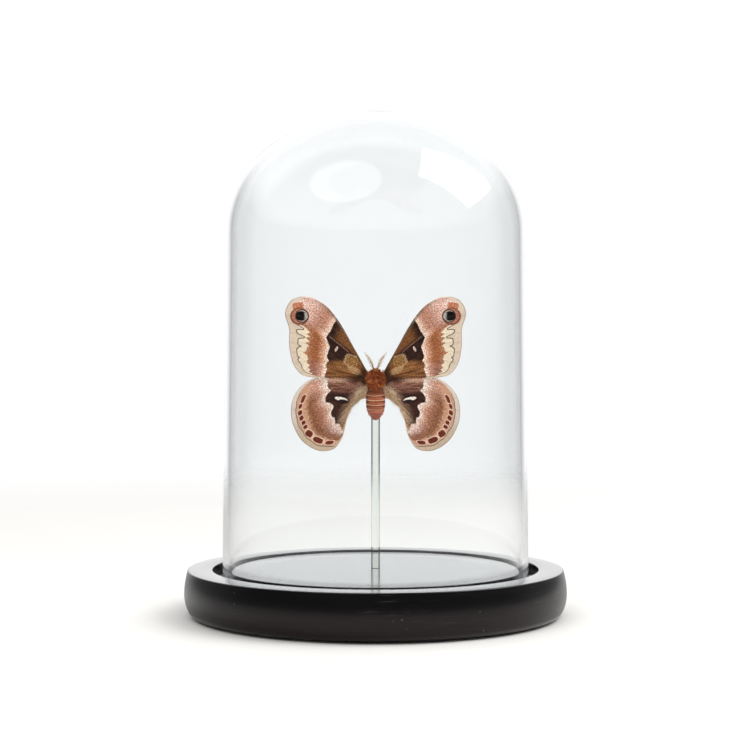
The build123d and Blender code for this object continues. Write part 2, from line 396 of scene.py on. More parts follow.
def clear_acrylic():
    material, tree, shader = clear_shader("clear_acrylic", (0.9, 0.91, 0.9, 1))
    rubs = grain(stretched(object_place(tree), (2600, 2600, 60)), 1.0, 3.0)
    clear = paint(rubs, (240, 244, 238), (250, 252, 249))
    # the tint turns grey-green towards grazing angles: painted dark edges in place of what the rod
    # refracts
    edge = tree.nodes.new("ShaderNodeLayerWeight")
    tone = shaded(edge.outputs["Facing"], clear, (0.3, 0.92, (108, 118, 98)))
    feed_all(shader, IOR=1.49, Base_Color=tone, Roughness=times(fade(rubs, 0.6, 0.8), 0.06))
    return material


rod_profile = [(0, rod_low.z), (ROD_RADIUS - ROD_BEVEL, rod_low.z)]
rod_profile += [(ROD_RADIUS, rod_low.z + ROD_BEVEL)]
rod_profile += [(ROD_RADIUS, rod_low.z + (rod_high.z - rod_low.z) * i / 12) for i in range(1, 12)]
rod_profile += [(ROD_RADIUS, rod_high.z - ROD_BEVEL)]
rod_profile += [(ROD_RADIUS - ROD_BEVEL, rod_high.z), (0, rod_high.z)]
rod = piece("stem_rod_clear", turned(rod_profile, 64), "base", clear_acrylic())
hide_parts("stem_rod")

glue_material, glue_tree, glue_shader = clear_shader("set_glue", (0.9, 0.9, 0.86, 1))
glue_cloud = grain(object_place(glue_tree), 900, 3.0)
feed_all(glue_shader, Base_Color=paint(glue_cloud, (238, 234, 214), (250, 249, 240)),
         Roughness=scaled(glue_cloud, 0.2, 0.05))
repaint("glue_bead", glue_material)

# --------------------------------------------------------------- moth's body
# The dried body of a silk moth: a thorax and head under dense orange-brown
# fur, and a ringed abdomen with short scales. The fur is combed tailwards.

thorax_low, thorax_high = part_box("moth_thorax")
THORAX = (thorax_low + thorax_high) / 2
THORAX_HALF = (thorax_high - thorax_low) / 2
head_low, head_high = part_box("moth_head")
abdomen_low, abdomen_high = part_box("moth_abdomen")
HAIRS_IN_TUFT = 14
FUR_HAIR = 0.1 * MM
SCALE_HAIR = 0.07 * MM
# No hair stands where the rod and the glue meet the back of the body.
CLEAR_BEHIND = -2.6 * MM
CLEAR_BESIDE = 2.4 * MM
draw = random.Random(7)


def minus(a, b):
    return maths("SUBTRACT", a, b)


def speckle_group():
    """Scale-sized flecks, lighter and darker than the colour that comes in."""
    tree = bpy.data.node_groups.new("scale_flecks", "ShaderNodeTree")
    for way, name, kind in (("INPUT", "Color", "Color"), ("INPUT", "Place", "Vector"),
                            ("INPUT", "Size", "Float"), ("INPUT", "Light", "Float"),
                            ("INPUT", "Dark", "Float"), ("OUTPUT", "Color", "Color"),
                            ("OUTPUT", "Height", "Float")):
        tree.interface.new_socket(name, in_out=way, socket_type="NodeSocket" + kind)
    given = tree.nodes.new("NodeGroupInput").outputs
    result = tree.nodes.new("NodeGroupOutput")
    level = grain(given["Place"], given["Size"], 3.0, 0.7)
    lighter = times(fade(level, 0.5, 0.62), given["Light"])
    darker = times(fade(level, 0.5, 0.36), given["Dark"])
    gained = node_by(level, "ShaderNodeVectorMath")
    gained.operation = "SCALE"
    feed(gained.inputs[0], given["Color"])
    feed_all(gained, Scale=plus(minus(lighter, darker), 1.0))
    feed_all(result, Color=gained.outputs[0], Height=level)
    return tree


flecks = speckle_group()


def flecked(tone, place, size, light, dark):
    """The tone broken up into scales, and their height."""
    made = node_by(place, "ShaderNodeGroup")
    made.node_tree = flecks
    feed_all(made, Color=tone, Place=place, Size=size, Light=light, Dark=dark)
    return made.outputs["Color"], made.outputs["Height"]


def length_of(vector):
    made = node_by(vector, "ShaderNodeVectorMath", Vector=vector)
    made.operation = "LENGTH"
    return made.outputs["Value"]


def fur_colour(name, dark, middle, light, patch=420, ball=None):
    """Fur in tufts of three tones; on a ball (centre, half size) painted shade darkens it towards the
    roots.
    """
    material, tree, shader = new_material(name)
    place = object_place(tree)
    tufts = grain(place, patch, 3.0, 0.7)
    tone = shaded(tufts, dark, (0.28, 0.48, middle), (0.5, 0.66, light))
    if ball:
        centre, half = ball
        centred = stretched(place, [1 / h for h in half], [-c / h for c, h in zip(centre, half)])
        # painted shade: the fur darkens towards its roots, deep inside the ball
        tone = paint(fade(length_of(centred), 0.95, 0.7), tone, dark)
    tone, height = flecked(tone, place, 2600, 0.3, 0.4)
    feed_all(shader, Base_Color=tone, Roughness=scaled(height, 0.2, 0.5), Sheen_Weight=0.08,
             Specular_IOR_Level=0.15)
    raise_surface(shader, height, 0.03 * MM)
    return material


def strands_mesh(strands, thickness):
    """Tapered strands, each a list of points, as one mesh."""
    curve = bpy.data.curves.new("strands", "CURVE")
    curve.dimensions = "3D"
    curve.bevel_depth = thickness / 2
    curve.bevel_resolution = 0
    curve.use_fill_caps = True
    for points in strands:
        spline = curve.splines.new("POLY")
        spline.points.add(len(points) - 1)
        for i, point in enumerate(points):
            spline.points[i].co = (*point, 1)
            spline.points[i].radius = 1 - 0.9 * i / (len(points) - 1)
    holder = bpy.data.objects.new("strands", curve)
    bpy.context.scene.collection.objects.link(holder)
    mesh = bpy.data.meshes.new_from_object(holder)
    bpy.data.objects.remove(holder)
    bpy.data.curves.remove(curve)
    return mesh


def with_strands(bm, strands, thickness):
    """Adds the strands to the bmesh of the body that they grow on."""
    mesh = strands_mesh(strands, thickness)
    bm.from_mesh(mesh)
    bpy.data.meshes.remove(mesh)
    return bm


def strand(root, direction, length, droop):
    """Four points from the root, bending towards droop."""
    step = length / 3
    points = [root]
    heading = direction.normalized()
    for bend in (0.0, 0.5, 1.0):
        points.append(points[-1] + (heading + droop * bend).normalized() * step)
    return points


def random_heading():
    while True:
        point = Vector([draw.uniform(-1, 1) for axis in range(3)])
        if 0.1 < point.length < 1:
            return point.normalized()


def squared(out, square):
    """Pushes a point of the unit ball out towards a block with round corners."""
    return out / (abs(out.x) ** square + abs(out.y) ** square + abs(out.z) ** square) ** (1 / square)


def furry_ball(centre, half, core, tufts, length, comb, loose, square=2.0, taper=0.0, extra=()):
    """A squashed core, narrower downwards by the taper, under tufts combed one way."""

    def skin(out, depth):
        point = squared(out, square)
        narrow = 1 + taper * (min(point.z, 0.4) - 0.4)
        point = Vector((point.x * narrow, point.y * (1 + 0.4 * taper * min(point.z, 0.0)), point.z))
        return centre + Vector([point[i] * half[i] * core * depth for i in range(3)])

    bm = bmesh.new()
    bmesh.ops.create_icosphere(bm, subdivisions=4, radius=1.0)
    for vert in bm.verts:
        vert.co = skin(vert.co.normalized(), 1 + 0.08 * noise.noise(vert.co * 3))
    coat = []
    for count in range(tufts):
        middle = random_heading()
        lie = Vector((0, -0.1, comb * (middle.z - 0.35)))
        heading = (middle + lie + random_heading() * loose).normalized()
        hang = 1 + 1.2 * max(0.0, -middle.z - 0.3) * (1 - abs(middle.x))
        tip = skin(middle, 1.0) + heading * length * hang * draw.uniform(0.6, 1.15)
        for hair in range(HAIRS_IN_TUFT):
            root = skin((middle + random_heading() * 0.32).normalized(), 0.97)
            if root.y > CLEAR_BEHIND and abs(root.x) < CLEAR_BESIDE:
                continue
            way = tip - root + random_heading() * length * 0.16
            coat.append(strand(root, way, way.length * draw.uniform(0.75, 1.1), lie * 0.25))
    return with_strands(bm, coat + list(extra), FUR_HAIR)


def fringe(count, root_at, tip_at):
    """Longer tufts across the front of the thorax; places are mm from its centre."""
    coat = []
    for tuft in range(count):
        across = draw.uniform(-1, 1)
        root = THORAX + Vector(root_at(across)) * MM
        tip = THORAX + Vector(tip_at(across)) * MM
        for hair in range(HAIRS_IN_TUFT):
            start = root + random_heading() * 0.5 * MM
            way = tip - start + random_heading() * 0.35 * MM
            length = way.length * draw.uniform(0.75, 1.1)
            coat.append(strand(start, way, length, Vector((0, 0.05, -0.2))))
    return coat


# Fur hangs over the abdomen's waist to a blunt point, and stands up behind the head.
apron = fringe(76, lambda a: (3.7 * a, -2.2, draw.uniform(-1.2, 2.6)),
               lambda a: (3.0 * a, 1.3 * a * a - 4.6,
                          (1.8 * abs(a) ** 1.5 - 3.9) * draw.uniform(0.7, 1.0)))
collar = fringe(40, lambda a: (3.0 * a, -1.8, draw.uniform(2.2, 3.2)),
                lambda a: (3.4 * a, -2.5, draw.uniform(4.2, 5.2)))
thorax_fur = fur_colour("thorax_fur", (60, 18, 2), (164, 74, 22), (232, 146, 76), 900,
                        (THORAX, THORAX_HALF))
thorax = piece("moth_thorax_furred",
               furry_ball(THORAX, THORAX_HALF, 0.8, 400, 1.4 * MM, 0.8, 0.7, 2.3, 0.5, apron + collar),
               "base", thorax_fur, 180)
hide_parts("moth_thorax")

HEAD_HALF = Vector((1.7 * MM, 1.8 * MM, 1.6 * MM))
HEAD = Vector((0, (head_low.y + head_high.y) / 2, head_high.z - HEAD_HALF.z))
head_fur = fur_colour("head_fur", (110, 52, 16), (196, 120, 54), (244, 200, 142), 1100)
head = piece("moth_head_furred",
             furry_ball(HEAD, HEAD_HALF, 0.76, 70, 0.7 * MM, 0.5, 0.5),
             "base", head_fur, 180)
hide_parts("moth_head")

# The abdomen is ringed: each segment has a dark root and a pale fringed hem.
RING_PITCH = 1.83 * MM
RING_TILT = 0.15
FIRST_HEM = THORAX.z - 5.2 * MM
ABDOMEN_AXIS = Vector(((abdomen_low.x + abdomen_high.x) / 2, (abdomen_low.y + abdomen_high.y) / 2, 0))
ABDOMEN_RADIUS = (abdomen_high.x - abdomen_low.x) / 2


def abdomen_radius(z):
    """A waist under the fur, widest a third of the way down, and a round tip."""
    along = (abdomen_high.z - z) / (abdomen_high.z - abdomen_low.z)
    if along > 0.999:
        return 0.0
    body = math.cos((along - 0.42) * 1.9) ** 0.7
    tip = math.sqrt(max(0.0, 1 - max(0.0, (along - 0.62) / 0.38) ** 2.3))
    waist = 0.5 + 0.5 * math.sin(min(1.0, along / 0.26) * math.pi / 2)
    return ABDOMEN_RADIUS * body * waist * (0.18 + 0.82 * tip) * tip ** 0.25


def abdomen_surface():
    outline = [(0, abdomen_high.z)]
    for i in range(97):
        z = abdomen_high.z + (abdomen_low.z - abdomen_high.z) * i / 96
        phase = ((FIRST_HEM - z) / RING_PITCH) % 1.0
        swell = 0.87 + 0.13 * math.sin(phase * 0.8 * math.pi) ** 0.6 * (phase < 0.94)
        outline.append((abdomen_radius(z) * swell, z))
    outline[-1] = (0, abdomen_low.z)
    bm = turned(outline, 72)
    for vert in bm.verts:
        tilt = RING_TILT * vert.co.y * min(1.0, (vert.co.z - abdomen_low.z) / (4 * MM))
        vert.co += ABDOMEN_AXIS + Vector((0, 0, tilt))
    return bm


def abdomen_scales():
    """Short scales lying tailwards, thickest along each segment's hem."""
    coat = []
    for count in range(2600):
        if draw.random() < 0.6:
            ring = draw.randint(-1, 4)
            z = FIRST_HEM - ring * RING_PITCH + draw.uniform(0.05, 0.45) * MM
        else:
            z = draw.uniform(abdomen_low.z + 0.5 * MM, abdomen_high.z)
        if not abdomen_low.z + 0.3 * MM < z < abdomen_high.z:
            continue
        turn = draw.uniform(0, math.tau)
        radius = abdomen_radius(z) * 0.93
        out = Vector((math.cos(turn), math.sin(turn), 0))
        root = ABDOMEN_AXIS + out * radius + Vector((0, 0, z))
        if root.y > CLEAR_BEHIND + 0.2 * MM:
            continue
        heading = out * 0.32 + Vector((0, 0, -1)) + random_heading() * 0.2
        coat.append(strand(root, heading, draw.uniform(0.5, 0.9) * MM, Vector((0, 0, -0.4))))
    return coat


def abdomen_rings():
    material, tree, shader = new_material("abdomen_scales")
    place = object_place(tree)
    x, y, height = apart(place)
    wobble = scaled(grain(place, 500, 2.0), 0.5 * MM, -0.25 * MM)
    tilted = scaled(y, -RING_TILT, RING_TILT * ABDOMEN_AXIS.y)
    below = minus(FIRST_HEM, plus(plus(height, tilted), wobble))
    phase = maths("FRACT", maths("DIVIDE", below, RING_PITCH))
    tone = shaded(phase, (106, 50, 30), (0.0, 0.3, (168, 94, 66)), (0.68, 0.86, (250, 190, 154)))
    brown = fade(height, THORAX.z - 6.2 * MM, THORAX.z - 4.4 * MM)
    tone = paint(times(brown, 0.75), tone, (112, 54, 22))
    tail = fade(height, THORAX.z - 10.8 * MM, THORAX.z - 11.4 * MM)
    tone = paint(times(tail, 0.95), tone, (206, 124, 102))
    flank = fade(maths("ABSOLUTE", x), 2.6 * MM, 3.3 * MM)
    spots = times(flank, fade(phase, 0.62, 0.3))
    tone = paint(times(spots, 0.85), tone, (48, 18, 10))
    tone, rough = flecked(tone, place, 2400, 0.3, 0.3)
    feed_all(shader, Base_Color=tone, Roughness=scaled(rough, 0.2, 0.55), Sheen_Weight=0.06,
             Specular_IOR_Level=0.15)
    raise_surface(shader, rough, 0.04 * MM)
    return material


abdomen = piece("moth_abdomen_ringed", with_strands(abdomen_surface(), abdomen_scales(), SCALE_HAIR),
                "base", abdomen_rings(), 180)
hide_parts("moth_abdomen")

# --------------------------------------------------------------------- wings
# Four dried wings, each a membrane under rows of scales, held out by veins that
# stand a little proud. The forewings lie over the front of the hindwings. Span
# runs from root to margin and chord from inner to leading edge; the rest is mm.

VEIN_HALF_WIDTH = 0.22
MEMBRANE = 0.16 * MM
FOREWING_COSTA = [(3.0, 3.7), (8.7, 13.9), (14.4, 23.9), (19.4, 30.0), (24.9, 33.3), (29.5, 34.0)]
FOREWING_MARGIN = [(29.5, 34.0), (33.6, 32.3), (35.9, 27.3), (34.3, 21.2),
                   (34.2, 14.1), (32.6, 7.0), (29.2, 2.9), (24.9, 1.7)]
FOREWING_INNER = [(24.9, 1.7), (14.0, 1.6), (3.0, 1.5)]
HINDWING_FRONT = [(3.0, 2.2), (13.0, 2.5), (22.5, 2.2)]
HINDWING_MARGIN = [(22.5, 2.2), (27.8, -0.2), (32.3, -5.5), (33.6, -12.1), (32.4, -17.8),
                   (28.7, -23.7), (22.5, -27.2), (16.6, -26.5), (13.7, -23.0), (12.5, -20.1)]
HINDWING_INNER = [(12.5, -20.1), (11.2, -14.0), (9.5, -9.6), (6.3, -7.1), (3.0, -6.4)]
# Each vein runs from one (span, chord) to another, through any between.
FOREWING_VEINS = [((0, 0.97), (0.5, 0.965), (0.95, 0.97)), ((0, 0.8), (0.35, 0.88), (0.97, 0.86)),
                  ((0, 0.8), (0.45, 0.78), (0.98, 0.74)), ((0.45, 0.72), (0.98, 0.655)),
                  ((0.5, 0.6), (0.98, 0.56)), ((0.47, 0.48), (0.98, 0.47)),
                  ((0, 0.3), (0.45, 0.44), (0.98, 0.37)), ((0.3, 0.38), (0.98, 0.26)),
                  ((0.2, 0.33), (0.98, 0.16)), ((0, 0.12), (0.5, 0.08), (0.95, 0.07))]
HINDWING_VEINS = [((0, 0.9), (0.5, 0.88), (0.97, 0.86)), ((0, 0.6), (0.4, 0.72), (0.98, 0.735)),
                  ((0.4, 0.66), (0.98, 0.645)), ((0.45, 0.58), (0.98, 0.565)),
                  ((0.42, 0.5), (0.98, 0.49)), ((0, 0.4), (0.4, 0.44), (0.98, 0.42)),
                  ((0.2, 0.36), (0.98, 0.33)), ((0, 0.25), (0.98, 0.22)), ((0, 0.12), (0.97, 0.1))]


def along(points, part):
    """The place a part of the way along a smooth curve through the points."""
    reach = [0.0]
    for a, b in zip(points, points[1:]):
        reach.append(reach[-1] + math.dist(a, b))
    knots = [r / reach[-1] for r in reach]
    k = max(i for i in range(len(points) - 1) if knots[i] <= part + 1e-9)

    def slope(i):
        low, high = max(i - 1, 0), min(i + 1, len(points) - 1)
        return (Vector(points[high]) - Vector(points[low])) / (knots[high] - knots[low])

    width = knots[k + 1] - knots[k]
    s = (part - knots[k]) / width
    leaving = (s ** 3 - 2 * s * s + s) * width * slope(k)
    arriving = (s ** 3 - s * s) * width * slope(k + 1)
    return ((2 * s ** 3 - 3 * s * s + 1) * Vector(points[k]) + leaving
            + (3 * s * s - 2 * s ** 3) * Vector(points[k + 1]) + arriving)


def on_wing(edges, span, chord):
    """The place on the wing whose four edges blend into each other."""
    lead, margin, inner = edges
    root = Vector(inner[-1]) * (1 - chord) + Vector(lead[0]) * chord
    corners = ((1 - span) * (1 - chord) * Vector(inner[-1]) + span * (1 - chord) * Vector(inner[0])
               + (1 - span) * chord * Vector(lead[0]) + span * chord * Vector(lead[-1]))
    return ((1 - chord) * along(inner, 1 - span) + chord * along(lead, span)
            + (1 - span) * root + span * along(margin, 1 - chord) - corners)


def to_segment(point, a, b):
    """Distance from a point to the straight piece from a to b."""
    run = b - a
    part = max(0.0, min(1.0, (point - a).dot(run) / run.length_squared))
    return (point - a - run * part).length


def vein_paths(edges, veins):
    """Each vein as short straight pieces on the wing."""
    pieces = []
    for vein in veins:
        places = []
        for start, end in zip(vein, vein[1:]):
            for i in range(6):
                part = i / 5
                places.append(on_wing(edges, start[0] + (end[0] - start[0]) * part,
                                      start[1] + (end[1] - start[1]) * part))
        pieces += [(a, b) for a, b in zip(places, places[1:]) if (b - a).length > 1e-6]
    return pieces


def wing(name, side, edges, veins, front, rows, columns, material):
    """One wing as a membrane with raised veins; side is -1 left, +1 right."""
    bm = bmesh.new()
    bmesh.ops.create_grid(bm, x_segments=columns, y_segments=rows, size=0.5)
    place_layer = bm.verts.layers.float_vector.new("wing_place")
    span_layer = bm.verts.layers.float_vector.new("wing_span")
    pieces = vein_paths(edges, veins)
    for vert in bm.verts:
        span, chord = vert.co.x + 0.5, vert.co.y + 0.5
        place = on_wing(edges, span, chord)
        distance = min(to_segment(place, a, b) for a, b in pieces)
        vein = math.exp(-(distance / VEIN_HALF_WIDTH) ** 2)
        vert[place_layer] = (place.x, place.y, vein)
        vert[span_layer] = (span, chord, 0)
        spot = Vector((place.x * 0.16, place.y * 0.16, side * 3))
        sag = 0.28 * noise.noise(spot) + 0.5 * (place.x / 34) ** 2
        relief = sag - 0.1 * vein * (1.1 - 0.6 * span)
        vert.co = (side * place.x * MM, front + relief * MM, THORAX.z + place.y * MM)
    if side < 0:
        bmesh.ops.reverse_faces(bm, faces=bm.faces)
    made = piece(name, bm, "base", material, 180)
    skin = made.modifiers.new("membrane", "SOLIDIFY")
    skin.thickness = MEMBRANE
    skin.offset = -1
    return made


def drawn(value, points):
    """A drawn line: the height at a value, straight between its points."""
    made = node_by(value, "ShaderNodeFloatCurve", Value=value)
    line = made.mapping.curves[0]
    for i, (x, y) in enumerate(points):
        if i < 2:
            line.points[i].location = (x, y)
        else:
            line.points.new(x, y)
    for point in line.points:
        point.handle_type = "VECTOR"
    made.mapping.update()
    return made.outputs[0]


def wing_sockets(tree):
    """(span, chord, out, up, vein, the place vector) as sockets."""
    vectors = []
    for name in ("wing_span", "wing_place"):
        attribute = tree.nodes.new("ShaderNodeAttribute")
        attribute.attribute_name = name
        vectors.append(attribute.outputs["Vector"])
    return (*apart(vectors[0])[:2], *apart(vectors[1]), vectors[1])


def away(out, up, centre, stretch=(1.0, 1.0), turn=0.0, power=2.0):
    """Distance from a centre, in units of the stretch along a turned frame."""
    x = minus(out, centre[0])
    y = minus(up, centre[1])
    cos, sin = math.cos(math.radians(turn)), math.sin(math.radians(turn))
    a = scaled(x, cos / stretch[0], times(y, sin / stretch[0]))
    b = scaled(y, cos / stretch[1], times(x, -sin / stretch[1]))
    a = maths("POWER", maths("ABSOLUTE", a), power)
    b = maths("POWER", maths("ABSOLUTE", b), power)
    return maths("POWER", plus(a, b), 1 / power)


def beside(out, up, a, b):
    """Signed distance from the endless line a to b; positive on its left."""
    run = Vector(b) - Vector(a)
    nx, ny = -run.y / run.length, run.x / run.length
    x = times(minus(out, a[0]), nx)
    return scaled(minus(up, a[1]), ny, x)


def line_mask(span, chord, points, width, reach):
    """A thin inked line along a drawn curve, even where the curve is steep."""
    before = drawn(minus(chord, reach), points)
    after = drawn(plus(chord, reach), points)
    low = maths("MINIMUM", before, after)
    high = maths("MAXIMUM", before, after)
    inside = maths("MINIMUM", minus(span, low), minus(high, span))
    return fade(inside, -width, -width * 0.35)


def finish_wing(shader, tone, place, vein, calm):
    """Scale flecks, fewer where calm is 1, vein relief and a soft dry sheen."""
    tone, height = flecked(tone, place, 1.9, scaled(calm, -0.48, 0.66), scaled(calm, -0.4, 0.52))
    feed_all(shader, Base_Color=tone, Roughness=scaled(height, 0.2, 0.62), Sheen_Weight=0.04,
             Specular_IOR_Level=0.1)
    raise_surface(shader, plus(height, times(vein, 0.6)), 0.05 * MM)


def wave_place(angle, out):
    """A place for noise that runs in fine lines out from the wing's root."""
    return node_by(out, "ShaderNodeCombineXYZ", X=times(angle, 26.0), Y=times(out, 0.12)).outputs[0]


# The lines across each wing, as (chord, span) points from the inner edge up.
PM_LINE = [(0.0, 0.76), (0.056, 0.72), (0.156, 0.62), (0.219, 0.578), (0.28, 0.583), (0.354, 0.54),
           (0.411, 0.565), (0.492, 0.553), (0.559, 0.541), (0.622, 0.572), (0.661, 0.585),
           (0.733, 0.556), (0.806, 0.536), (0.865, 0.54), (0.959, 0.566), (1.0, 0.585)]
FINGERS = [(0.0, 0.97), (0.091, 0.9), (0.125, 0.835), (0.15, 0.865), (0.181, 0.82), (0.2, 0.845),
           (0.235, 0.8), (0.262, 0.83), (0.309, 0.805), (0.347, 0.815), (0.372, 0.86), (0.385, 0.82),
           (0.43, 0.81), (0.455, 0.79), (0.48, 0.828), (0.5, 0.783), (0.53, 0.83), (0.554, 0.783),
           (0.575, 0.826), (0.6, 0.786), (0.64, 0.83), (0.665, 0.9), (0.7, 0.945), (0.8, 0.93),
           (0.9, 0.94), (1.0, 0.955)]
WAVY = [(0.09, 0.84), (0.124, 0.883), (0.142, 0.914), (0.201, 0.917), (0.24, 0.904), (0.278, 0.928),
        (0.302, 0.925), (0.314, 0.902), (0.326, 0.925), (0.394, 0.926), (0.422, 0.9), (0.431, 0.868),
        (0.44, 0.9), (0.454, 0.91), (0.505, 0.908), (0.524, 0.843), (0.537, 0.843), (0.55, 0.91),
        (0.573, 0.93), (0.592, 0.927), (0.608, 0.855), (0.622, 0.85), (0.64, 0.9), (0.672, 0.933),
        (0.7, 0.94)]


def forewing_colours():
    material, tree, shader = new_material("forewing_scales")
    span, chord, out, up, vein, place = wing_sockets(tree)
    ragged_span = plus(span, scaled(grain(place, 1.1, 3.0, 0.65), 0.022, -0.011))
    inner_line = drawn(chord, PM_LINE)
    finger_line = drawn(chord, FINGERS)
    depth = maths("DIVIDE", minus(ragged_span, inner_line), minus(finger_line, inner_line))
    # the middle band: pale by the inner line, then brown, pinker at both ends
    mottle = grain(place, 1.7, 3.0, 0.7)
    tone = shaded(depth, (254, 226, 208), (0.02, 0.28, (224, 164, 130)),
                  (0.22, 0.55, (166, 98, 60)), (0.7, 1.0, (190, 130, 92)))
    mauve = shaded(depth, (254, 226, 210), (0.05, 0.4, (206, 150, 128)),
                   (0.35, 0.75, (164, 110, 94)))
    tone = shaded(chord, tone, (0.36, 0.16, mauve))
    apex = shaded(depth, (248, 212, 190), (0.0, 0.22, (196, 138, 114)), (0.3, 0.7, (234, 190, 174)))
    apex_side = beside(out, up, (33.0, 24.5), (19.0, 17.5))
    tone = shaded(apex_side, tone, (1.0, -4.0, apex))
    tone = shaded(mottle, tone, (0.55, 0.75, (232, 196, 176), 0.3),
                  (0.46, 0.28, (124, 68, 42), 0.3))
    # cream fingers, then the tan margin outside the wavy line
    tone = shaded(minus(ragged_span, finger_line), tone, (-0.004, 0.006, (252, 232, 204)))
    wavy_line = drawn(chord, WAVY)
    margin = shaded(span, (234, 210, 184), (0.93, 0.99, (236, 214, 194)))
    margin_mask = maths("MAXIMUM", fade(minus(span, wavy_line), -0.004, 0.004),
                        fade(span, 0.935, 0.955))
    tone = paint(margin_mask, tone, margin)
    ink = times(line_mask(span, chord, WAVY, 0.0075, 0.004), fade(chord, 0.7, 0.66))
    tone = paint(times(ink, 0.85), tone, (78, 58, 42))
    # the base inside the inner line: dark, with a warm streak and a pale ray above
    fine = grain(place, 3.2, 2.0, 0.6)
    base = shaded(mottle, (36, 15, 8), (0.4, 0.75, (72, 42, 30)))
    above_ray = beside(out, up, (10.8, 12.0), (18.3, 18.2))
    inward = minus(inner_line, ragged_span)
    streak = times(fade(above_ray, 0.1, 1.5), fade(inward, 0.02, 0.14))
    base = paint(streak, base, shaded(fine, (76, 38, 12), (0.36, 0.64, (160, 102, 56))))
    ray = times(fade(maths("ABSOLUTE", above_ray), 0.3, 0.06), fade(out, 18.6, 18.0))
    ray = times(ray, fade(out, 10.4, 11.0))
    base = paint(times(ray, 0.4), base, (196, 146, 120))
    # its brown lower part, with a small pale mark and an ear-shaped patch
    fan = maths("ARCTAN2", minus(up, 0.5), minus(out, 1.0))
    fan = grain(wave_place(fan, out), 1.0, 2.0)
    brown = shaded(fan, (98, 54, 24), (0.35, 0.65, (156, 104, 60)))
    base = shaded(plus(up, times(mottle, 1.6)), base, (10.2, 8.0, brown))
    mark = away(out, up, (15.5, 13.1), (0.5, 1.15), 24)
    base = shaded(mark, base, (1.15, 0.7, (232, 202, 184)))
    ear = away(out, up, (9.3, 8.3), (3.1, 2.3), 24, 3.0)
    ear = plus(ear, scaled(mottle, 0.9, -0.45))
    far_side = fade(beside(out, up, (7.0, 10.0), (11.5, 5.5)), -0.6, 0.8)
    ear_rim = times(fade(ear, 1.08, 0.98), times(far_side, 0.6))
    base = paint(ear_rim, base, (222, 184, 142))
    ear_tone = shaded(fine, (70, 34, 6), (0.42, 0.6, (206, 152, 90)))
    base = shaded(ear, base, (0.94, 0.8, ear_tone))
    tan = away(out, up, (8.3, 4.6), (3.3, 1.3), 28, 2.4)
    tan_tone = shaded(fan, (156, 108, 64), (0.35, 0.6, (204, 162, 116)))
    base = shaded(tan, base, (1.15, 0.7, tan_tone))
    # painted shadow along the inner edge over the gap to the hindwing, and painted shade at the root
    # beside the body
    gap_shadow = times(fade(up, 3.6, 2.0), fade(out, 13.0, 6.5))
    base = paint(times(gap_shadow, 0.9), base, (24, 6, 0))
    base = shaded(out, base, (6.8, 3.8, (28, 9, 1), 0.92))
    tone = shaded(inward, tone, (-0.006, 0.004, base))
    # the costal edge, and the darker hem of the outer margin
    costa = times(fade(chord, 0.955, 0.985), fade(span, 0.95, 0.6))
    tone = paint(times(costa, 0.8), tone, (112, 98, 82))
    tone = shaded(span, tone, (0.985, 0.998, (140, 112, 88), 0.55))
    tone = eyespot(tone, out, up)
    tone = paint(times(vein, 0.16), tone, (120, 78, 56))
    finish_wing(shader, tone, place, vein, fade(minus(span, finger_line), -0.01, 0.02))
    return material


def eyespot(tone, out, up):
    """The eye near the wing tip: brick patch, maroon ring, pupil and glint."""
    trim = away(out, up, (30.2, 30.5), (2.7, 1.75), -8, 4.0)
    zigzag = times(fade(trim, 1.08, 0.98), fade(up, 26.5, 27.6))
    tone = paint(times(zigzag, 0.85), tone, (246, 216, 206))
    patch = away(out, up, (30.7, 30.1), (2.15, 1.45), -8, 4.0)
    tone = shaded(patch, tone, (1.08, 0.95, (202, 128, 96)))
    glint = shaded(out, (196, 196, 192), (27.3, 28.6, (40, 34, 30)))
    for centre, half, step in (((30.2, 26.1), (3.7, 3.5), (1.05, 0.94, (142, 84, 66))),
                               ((30.0, 26.2), (3.2, 2.95), (1.04, 0.92, (186, 122, 96))),
                               ((29.1, 26.2), (2.75, 2.65), (1.04, 0.96, (40, 26, 22))),
                               ((29.2, 26.2), (2.4, 2.3), (1.04, 0.94, (186, 166, 152))),
                               ((29.4, 26.2), (2.05, 1.95), (1.05, 0.92, glint)),
                               ((30.0, 26.2), (1.7, 1.85), (1.1, 0.9, (6, 5, 5)))):
        tone = shaded(away(out, up, centre, half), tone, step)
    return tone


JAG_LINE = [(0.0, 1.0), (0.036, 0.9), (0.148, 0.65), (0.195, 0.588), (0.247, 0.591), (0.304, 0.522),
            (0.341, 0.537), (0.4, 0.503), (0.426, 0.449), (0.47, 0.441), (0.522, 0.475),
            (0.56, 0.518), (0.619, 0.522), (0.657, 0.499), (0.694, 0.46), (0.77, 0.532),
            (0.819, 0.562), (0.938, 0.69), (1.0, 0.74)]
PEACH_LINE = [(0.0, 0.93), (0.1, 0.9), (0.169, 0.857), (0.19, 0.83), (0.205, 0.85), (0.22, 0.818),
              (0.269, 0.804), (0.285, 0.828), (0.308, 0.815), (0.35, 0.834), (0.385, 0.815),
              (0.42, 0.822), (0.434, 0.8), (0.447, 0.812), (0.48, 0.79), (0.497, 0.812),
              (0.515, 0.775), (0.53, 0.79), (0.56, 0.79), (0.58, 0.768), (0.6, 0.815), (0.625, 0.785),
              (0.64, 0.779), (0.669, 0.807), (0.7, 0.775), (0.748, 0.773), (0.8, 0.83), (1.0, 0.93)]
HIND_WAVY = [(0.13, 0.955), (0.165, 0.948), (0.2, 0.93), (0.238, 0.923), (0.27, 0.935), (0.302, 0.94),
             (0.33, 0.93), (0.353, 0.93), (0.385, 0.935), (0.419, 0.927), (0.456, 0.923),
             (0.49, 0.938), (0.528, 0.938), (0.56, 0.928), (0.596, 0.931), (0.633, 0.931),
             (0.665, 0.92), (0.696, 0.93), (0.741, 0.915), (0.78, 0.925)]
# The hindwing's length and the height of its margin, in mm, for the spots.
HINDWING_REACH = 33.0
HINDWING_EDGE = 57.0
